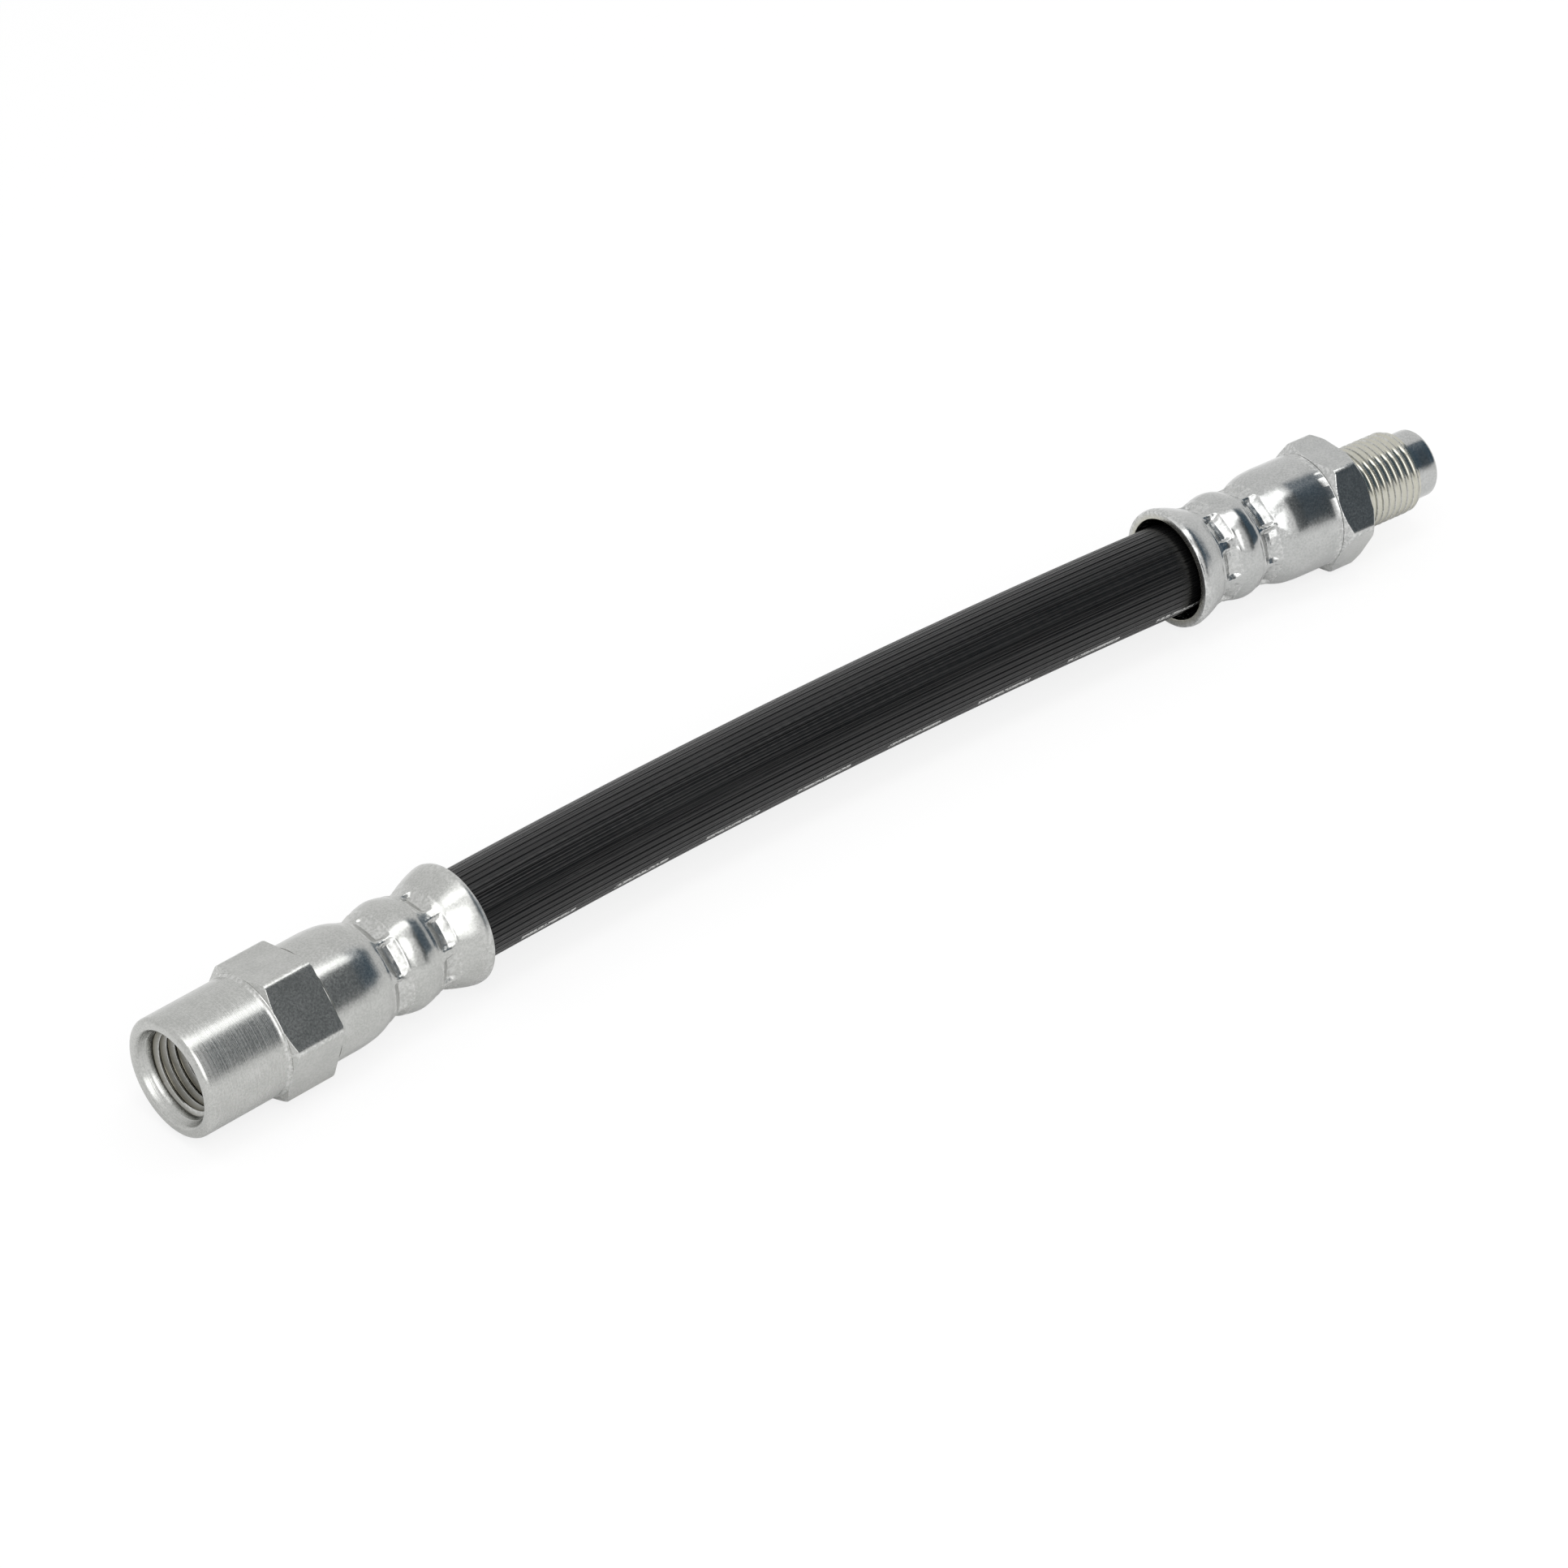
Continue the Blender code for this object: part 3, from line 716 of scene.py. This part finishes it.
def add_cavity(skin, crimps, flare_r):
    """Inside of a skirt, from the passage through the web back out to the rim."""
    near, far = crimps
    throat = near - THROAT_OFFSET
    squeezed = (CAVITY_R + CRIMPED_CAVITY_R) / 2
    skin.rings([(SEAT, PASSAGE_R), (SEAT, SEAT_R), (WEB, SEAT_R), (WEB, CAVITY_R)])
    skin.rings([(far + SHOULDER_LENGTH, CAVITY_R), (far, CRIMPED_CAVITY_R), ((near + far) / 2, CAVITY_R),
                (near, CRIMPED_CAVITY_R)])
    rim_r = flare_r - RIM_WALL
    halfway = (throat * 0.5, squeezed + (rim_r - squeezed) * 0.55)
    bell = [(RIM_BORE_ROUND, rim_r), halfway, (throat, squeezed)]
    for place in steps(throat, RIM_BORE_ROUND, 0.3):
        skin.ring(place, float(smooth_through(bell, place)))
    # Half tint on the rim's bore: painted shade inside the socket's bell, a yellow tint inside the stud's.
    skin.rings(quarter_round(0, rim_r, -RIM_BORE_ROUND)[::-1], tint=0.5, worn=0.2)


def add_hexagon(skin, roll, start, length, chamfers, chamfer_highlight=0.0):
    """A hexagon with rounded corners and a turned chamfer at each end, given as length and depth. Its
    corners are brightened as real wear and painted highlight, and painted highlights run where the chamfers
    cut the flats and, at the given share, over the chamfers.
    """
    from_corner = np.abs((skin.degrees - roll + 30) % 60 - 30)
    flat = HEX_APOTHEM / np.cos(np.radians(30 - from_corner))
    centre = (HEX_APOTHEM - HEX_ROUND) / math.cos(math.pi / 6)
    beside = centre * np.sin(np.radians(np.minimum(from_corner, HEX_ROUND_SPAN)))
    rounded = centre * np.cos(np.radians(from_corner)) + np.sqrt(HEX_ROUND ** 2 - beside ** 2)
    flat = np.where(np.abs(beside) < HEX_ROUND / 2, rounded, flat)
    end = start + length
    (start_run, start_depth), (end_run, end_depth) = chamfers
    shares = [k / CHAMFER_ROWS for k in range(CHAMFER_ROWS + 1)]
    cones = [(start + start_run * k, HEX_CORNER_R - start_depth * (1 - k)) for k in shares]
    cones += [(end - end_run * (1 - k), HEX_CORNER_R - end_depth * k) for k in shares]
    # Painted highlights at the corners, the brims and the chamfers; the corners also show real wear.
    corner = CORNER_WEAR_AND_HIGHLIGHT * hump(from_corner, 0, CORNER_WEAR_AND_HIGHLIGHT_WIDTH)
    for place, limit in cones:
        brim_highlight = BRIM_HIGHLIGHT * hump(flat, limit, BRIM_HIGHLIGHT_WIDTH)
        worn = np.maximum(corner, np.maximum(brim_highlight, chamfer_highlight * (limit < flat)))
        skin.ring(place, np.minimum(flat, limit), worn=worn)


# Pieces

def female_fitting(material):
    """Socket fitting: skirt, hexagon and turned nose with its internal thread."""
    random = np.random.default_rng(SEED)
    skin = Skin(COLUMNS, FEMALE_HEX_ROLL)
    skirt_end = FEMALE_SKIRT + FEMALE_GROOVE[0][0]
    add_skirt(skin, FEMALE_PROFILE, FEMALE_CRIMPS, FEMALE_CRIMP_ROLL, skirt_end, random)
    skin.rings(shifted(FEMALE_GROOVE, FEMALE_SKIRT, BARREL_R))
    add_hexagon(skin, FEMALE_HEX_ROLL, FEMALE_SKIRT, FEMALE_HEX, FEMALE_CHAMFERS)
    hex_end = FEMALE_SKIRT + FEMALE_HEX
    mouth = FEMALE_LENGTH
    skin.rings(shifted(NOSE_FILLET, hex_end, NOSE_R), worn=0.7)
    nose = steps(hex_end + NOSE_START, mouth - NOSE_ROUND, NOSE_ROW_STEP)
    skin.rings([(place, NOSE_R) for place in nose], turned=1.0)
    skin.rings(quarter_round(mouth, NOSE_R, NOSE_ROUND, -1, 6)[::-1], turned=0.5)
    skin.ring(mouth, MOUTH_R, turned=0.15)
    skin.rings(shifted(MOUTH_CONE, mouth), turned=0.9)
    skin.rings(shifted(MOUTH_STEP, mouth), turned=0.6)
    thread_start = mouth - SOCKET_LEAD
    # Painted shade at the mouth's step and in the thread's valleys, with bare crests.
    skin.ring(thread_start, SOCKET_ROOT_R, tint=0.6)
    skin.thread(thread_start, SOCKET_END + SOCKET_RUN_OUT, (SOCKET_ROOT_R, SOCKET_R), SOCKET_RIDGE, PITCH,
                (0.3, 0.3), random, tints=(1.0, 0.0))
    skin.rings([(SOCKET_END, SOCKET_R), (SOCKET_END - DRILL_POINT, PASSAGE_R)])
    add_cavity(skin, FEMALE_CRIMPS, FEMALE_FLARE_R)
    return skin.mesh("socket_fitting", material, straight_axis, female_frame)


def male_fitting(material):
    """Stud fitting: skirt, hexagon, stud thread and plain pilot."""
    random = np.random.default_rng(SEED + 1)
    skin = Skin(COLUMNS, MALE_HEX_ROLL)
    add_skirt(skin, MALE_PROFILE, MALE_CRIMPS, MALE_CRIMP_ROLL, MALE_SKIRT - 0.2, random)
    # Painted highlight along the bead where the barrel meets the hexagon.
    skin.rings(shifted(MALE_BEAD, MALE_SKIRT, BARREL_R), worn=1.0)
    skin.ring(MALE_SKIRT, BARREL_R - 0.04)
    add_hexagon(skin, MALE_HEX_ROLL, MALE_SKIRT, MALE_HEX, MALE_CHAMFERS, MALE_CHAMFER_HIGHLIGHT)
    shoulder = MALE_SKIRT + MALE_HEX
    skin.ring(shoulder, THREAD_R + 0.2, tint=0.4)
    skin.rings(shifted(STUD_RELIEF, shoulder, RELIEF_R), tint=0.4)
    thread_start = shoulder + THREAD_START
    skin.ring(thread_start, THREAD_CORE_R, tint=0.5)
    skin.thread(thread_start, THREAD_END, (THREAD_CORE_R, THREAD_R), STUD_RIDGE, STUD_PITCH,
                (0.35, 0.5), random, tints=(0.5, 0.1),
                limit=lambda place: THREAD_CORE_R + (THREAD_END - place) * THREAD_LEAD_SLOPE)
    skin.ring(THREAD_END, THREAD_CORE_R - 0.1, tint=0.2)
    skin.rings(shifted(PILOT_FILLET, THREAD_END, PILOT_R), tint=0.2)
    pilot = steps(THREAD_END + PILOT_START, MALE_LENGTH - PILOT_ROUND, PILOT_ROW_STEP)
    skin.rings([(place, PILOT_R) for place in pilot], turned=0.25)
    skin.rings(quarter_round(MALE_LENGTH, PILOT_R, PILOT_ROUND, -1, 6)[::-1], turned=0.25)
    skin.rings(shifted(SEAT_CONE, MALE_LENGTH), turned=0.5)
    add_cavity(skin, MALE_CRIMPS, MALE_FLARE_R)
    return skin.mesh("stud_fitting", material, straight_axis, male_frame)


def hose_places(step=HOSE_ROW_STEP):
    """Places of a layer's rows along the free hose, rim to rim."""
    return steps(0, FREE_LENGTH, step) + [FREE_LENGTH]


def gripped(crimps):
    """The cover's radius under a skirt, from the rim inwards."""
    near, far = crimps
    squeezed = (CAVITY_R + CRIMPED_CAVITY_R) / 2
    rows = [(near - THROAT_OFFSET, squeezed), (near, CRIMPED_CAVITY_R), ((near + far) / 2, CAVITY_R),
            (far, CRIMPED_CAVITY_R), (far + SHOULDER_LENGTH, CAVITY_R), (INSERTION, CAVITY_R)]
    return [(place, radius - FIT_GAP) for place, radius in rows]


def outer_cover(material):
    """The cover with its ribs between deep and shallow grooves in turn, smooth where the skirts grip it."""
    random = np.random.default_rng(SEED + 2)
    skin = Skin(RIB_COUNT * RIB_COLUMNS, 0)
    phase = skin.degrees / 360 * RIB_COUNT
    rib = np.round(phase).astype(int) % RIB_COUNT
    centre = np.round(phase) + random.uniform(-RIB_PLAY, RIB_PLAY, RIB_COUNT)[rib]
    width = random.uniform(*GROOVE_WIDTHS, RIB_COUNT)[rib]
    main = np.where(np.arange(RIB_COUNT) % 2 == 0, 1.0, SHALLOW_GROOVE)
    depth = RIB_DEPTH * (main * random.uniform(*GROOVE_DEPTH_SHARES, RIB_COUNT))[rib]
    share = hump(phase, centre, width)
    ripple = RIPPLE * speckle(random, (len(hose_places()), skin.columns), 3)
    for place, radius in reversed(gripped(FEMALE_CRIMPS)):
        skin.ring(-place, radius)
    for place, wave in zip(hose_places(), ripple):
        skin.ring(place, HOSE_R - depth * share + wave, worn=1 - share)
    for place, radius in gripped(MALE_CRIMPS):
        skin.ring(FREE_LENGTH + place, radius)
    bore = [FREE_LENGTH + INSERTION] + hose_places(BORE_ROW_STEP)[::-1] + [-INSERTION]
    skin.rings([(place, COVER_BORE_R) for place in bore])
    return skin.mesh("ribbed_cover", material, hose_axis, sharp=50)


def layer(name, bore_r, outer_r, material):
    """A plain layer of the hose."""
    skin = Skin(LAYER_COLUMNS, 0)
    places = [-INSERTION] + hose_places(LAYER_ROW_STEP) + [FREE_LENGTH + INSERTION]
    skin.rings([(place, outer_r) for place in places])
    skin.rings([(place, bore_r) for place in places[::-1]])
    return skin.mesh(name, material, hose_axis)


def inner_tube(material):
    """The liner, stretched over the inserts at its ends."""
    skin = Skin(LAYER_COLUMNS, 0)
    free = hose_places(LAYER_ROW_STEP)
    skin.rings([(place, TUBE[1]) for place in [-INSERTION] + free + [FREE_LENGTH + INSERTION]])
    stretched = [(-INSERTION, STRETCHED_BORE_R), (-INSERT_TIP + STRETCH_PAST_TIP, STRETCHED_BORE_R)]
    skin.rings([(FREE_LENGTH - place, radius) for place, radius in stretched])
    skin.rings([(place, TUBE[0]) for place in free[::-1]])
    skin.rings(stretched[::-1])
    return skin.mesh("liner_tube", material, hose_axis)


def braid(name, bore_r, outer_r, carriers, material):
    """A braided layer: two sets of yarns that cross at an angle and pass over each other."""
    skin = Skin(carriers * YARN_COLUMNS, 0)
    places = steps(-INSERTION, FREE_LENGTH + INSERTION, BRAID_ROW_STEP) + [FREE_LENGTH + INSERTION]
    relief = (outer_r - bore_r) * YARN_RELIEF
    turn = np.radians(skin.degrees)
    for place in places:
        climb = place / outer_r
        left, right = (np.abs(np.sin((turn + way * climb) * carriers / 2)) for way in (-1, 1))
        skin.ring(place, outer_r - relief * (1 - np.maximum(left, right)))
    skin.rings([(place, bore_r) for place in places[::-BRAID_BORE_EVERY]])
    skin.ring(-INSERTION, bore_r)
    return skin.mesh(name, material, hose_axis, sharp=60)


# Assembly of the looks

# The socket's third colour is painted shade for its thread and recesses; the stud's is a yellow tint.
socket_zinc = zinc("zinc_socket", (0.4, 0.405, 0.39), (0.5, 0.502, 0.487), (0.15, 0.142, 0.115), 0.25)
stud_zinc = zinc("zinc_stud", (0.395, 0.402, 0.395), (0.495, 0.499, 0.492), (0.58, 0.555, 0.43), 0.2)
steel = insert_steel()
rubber = cover_rubber()
liner = liner_rubber()
yarn = braid_yarn()

socket = female_fitting(socket_zinc)
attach(socket, "female_end")
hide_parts("female_fitting")

stud = male_fitting(stud_zinc)
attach(stud, "male_end")
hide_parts("male_fitting")

for node in ("female_insert", "male_insert"):
    data = frame["nodes"][node].data
    data.materials.clear()
    data.materials.append(steel)

cover = outer_cover(rubber)
layers = [
    (cover, "outer_cover", "cover_rubber"),
    (inner_tube(liner), "inner_tube", "liner_rubber"),
    (braid("inner_yarn_braid", *INNER_BRAID, INNER_CARRIERS, yarn), "inner_braid", "braid_yarn"),
    (layer("cushion", *CUSHION, liner), "cushion_layer", "liner_rubber"),
    (braid("outer_yarn_braid", *OUTER_BRAID, OUTER_CARRIERS, yarn), "outer_braid", "braid_yarn"),
]
for piece, node, slot in layers:
    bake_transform(piece)
    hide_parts(node)


# Camera

def camera():
    """A camera at the photograph's place and focal length."""
    azimuth, elevation = math.radians(CAMERA_AZIMUTH), math.radians(CAMERA_ELEVATION)
    back = Vector((math.sin(azimuth) * math.cos(elevation), -math.cos(azimuth) * math.cos(elevation),
                   math.sin(elevation)))
    data = bpy.data.cameras.new("camera")
    data.sensor_width = SENSOR
    data.lens = FOCAL_PIXELS / IMAGE_SIZE * SENSOR
    data.clip_start, data.clip_end = 0.01, 20
    made = bpy.data.objects.new("camera", data)
    made.location = (Vector(CAMERA_AIM) + back * CAMERA_DISTANCE) * MM
    made.rotation_mode = "QUATERNION"
    facing = (-back).to_track_quat("-Z", "Y")
    roll = Matrix.Rotation(math.radians(CAMERA_ROLL), 3, "Z").to_quaternion()
    made.rotation_quaternion = facing @ roll
    bpy.context.scene.collection.objects.link(made)
    bpy.context.scene.camera = made


# Studio

def background_rays(tree):
    """1 for the rays that see the background: from the camera, or by reflection or refraction."""
    path = tree.nodes.new("ShaderNodeLightPath")
    total = path.outputs["Is Camera Ray"]
    for kind in ("Is Glossy Ray", "Is Transmission Ray"):
        either = tree.nodes.new("ShaderNodeMath")
        either.operation = "MAXIMUM"
        tree.links.new(total, either.inputs[0])
        tree.links.new(path.outputs[kind], either.inputs[1])
        total = either.outputs[0]
    return total


def world():
    """White where it is seen and a little less where it lights."""
    made = bpy.data.worlds.new("studio")
    made.use_nodes = True
    tree = made.node_tree
    background = tree.nodes["Background"]
    background.inputs["Color"].default_value = (1, 1, 1, 1)
    strength = tree.nodes.new("ShaderNodeMapRange")
    strength.inputs["To Min"].default_value = AMBIENT
    strength.inputs["To Max"].default_value = 1.0
    tree.links.new(background_rays(tree), strength.inputs["Value"])
    tree.links.new(strength.outputs[0], background.inputs["Strength"])
    bpy.context.scene.world = made


def staged(name, points, faces, shader_of):
    """A surface of the studio with its own shader, which isn't part of the object."""
    data = bpy.data.meshes.new(name)
    data.from_pydata(points, [], faces)
    made = bpy.data.objects.new(name, data)
    bpy.context.scene.collection.objects.link(made)
    material = bpy.data.materials.new(name)
    material.use_nodes = True
    tree = material.node_tree
    tree.nodes.clear()
    output = tree.nodes.new("ShaderNodeOutputMaterial")
    tree.links.new(shader_of(tree), output.inputs["Surface"])
    data.materials.append(material)
    return made


def emission(tree, colour):
    """A surface that shows one colour."""
    glow = tree.nodes.new("ShaderNodeEmission")
    glow.inputs["Color"].default_value = (*colour, 1)
    return glow.outputs[0]


def floor():
    """A wide white floor that keeps a soft shadow."""
    def shader_of(tree):
        matt = tree.nodes.new("ShaderNodeBsdfDiffuse")
        matt.inputs["Color"].default_value = FLOOR_COLOUR
        share = tree.nodes.new("ShaderNodeMath")
        share.operation = "MULTIPLY"
        share.inputs[1].default_value = FLOOR_GLOW
        mixed = tree.nodes.new("ShaderNodeMixShader")
        path = tree.nodes.new("ShaderNodeLightPath")
        tree.links.new(path.outputs["Is Camera Ray"], share.inputs[0])
        tree.links.new(share.outputs[0], mixed.inputs[0])
        tree.links.new(matt.outputs[0], mixed.inputs[1])
        tree.links.new(emission(tree, (1, 1, 1)), mixed.inputs[2])
        return mixed.outputs[0]

    corners = [(FLOOR_HALF * x, FLOOR_HALF * y, 0) for x, y in ((-1, -1), (1, -1), (1, 1), (-1, 1))]
    staged("floor", corners, [(0, 1, 2, 3)], shader_of)


def card(name, along, around, colour):
    """A dark card curved round the object's length, as a photographer puts beside bright metal.

    Only reflections see it. It turns from +Y towards +Z and on to -Y.
    """
    angles = np.radians(np.linspace(*around, CARD_STRIPS + 1))
    points = [(x * MM, CARD_DISTANCE * math.cos(angle), CARD_DISTANCE * math.sin(angle))
              for x in along for angle in angles]
    faces = [(k, k + 1, k + CARD_STRIPS + 2, k + CARD_STRIPS + 1) for k in range(CARD_STRIPS)]
    made = staged(name, points, faces, lambda tree: emission(tree, colour))
    made.visible_camera = False
    made.visible_diffuse = False
    made.visible_shadow = False
    made.visible_transmission = False


def softbox(name, place, aim, size, radiance):
    """An area lamp at a place, facing another."""
    data = bpy.data.lights.new(name, "AREA")
    data.shape = "RECTANGLE"
    data.size, data.size_y = size
    data.energy = radiance * math.pi * size[0] * size[1]
    made = bpy.data.objects.new(name, data)
    made.location = place
    made.rotation_euler = (Vector(place) - Vector(aim)).to_track_quat("Z", "Y").to_euler()
    bpy.context.scene.collection.objects.link(made)


camera()
world()
floor()
card("grey_card", (290, 650), (103, 174), CARD_GREY)
card("navy_card", (650, 1800), (112, 168), CARD_NAVY)
card("upper_card", (625, 1800), (82, 112), CARD_NAVY)
softbox("strip_light", (0.02, -0.05, 0.4), (0.02, -0.05, 0.0), (0.42, 0.12), 2.2)
softbox("key_light", (-0.28, -0.56, 0.5), (-0.02, 0.0, 0.0), (0.55, 0.7), 2.0)
bpy.context.scene.view_settings.view_transform = "Standard"
